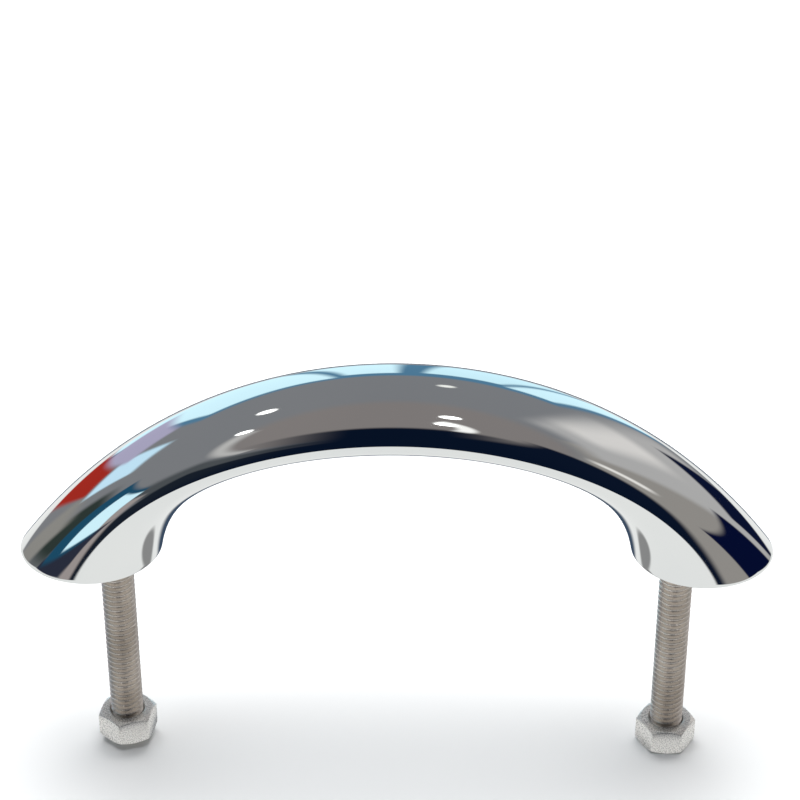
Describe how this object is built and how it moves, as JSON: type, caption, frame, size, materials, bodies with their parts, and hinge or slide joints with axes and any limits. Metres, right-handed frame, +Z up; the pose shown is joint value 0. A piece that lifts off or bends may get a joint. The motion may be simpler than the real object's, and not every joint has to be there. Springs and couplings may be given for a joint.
{
  "type": "grab rail",
  "caption": "Arched boat grab rail, a polished steel casting on two threaded studs with hexagon nuts.",
  "frame": {"origin": "midway between the two studs, in the plane of the foot soles, which is the face of the deck", "axes": "+X along the rail from the left foot to the right foot, +Z up from the deck through the crown, studs along -Z"},
  "size_m": [0.1778, 0.0346, 0.1014],
  "materials": {
    "mirror_steel": "mirror-polished stainless steel",
    "stud_steel": "rolled thread, plain stainless steel",
    "nut_steel": "satin stainless steel"
  },
  "bodies": {
    "rail": {"rail_casting": "mirror_steel", "left_stud": "stud_steel", "right_stud": "stud_steel"},
    "left_nut": {"left_nut": "nut_steel"},
    "right_nut": {"right_nut": "nut_steel"}
  },
  "joints": [
    {"name": "left_nut_travel", "type": "slide", "parent": "rail", "child": "left_nut", "axis": [0, 0, 1], "range_m": [-0.0117, 0.0479]},
    {"name": "right_nut_travel", "type": "slide", "parent": "rail", "child": "right_nut", "axis": [0, 0, 1], "range_m": [-0.01, 0.0496]}
  ]
}
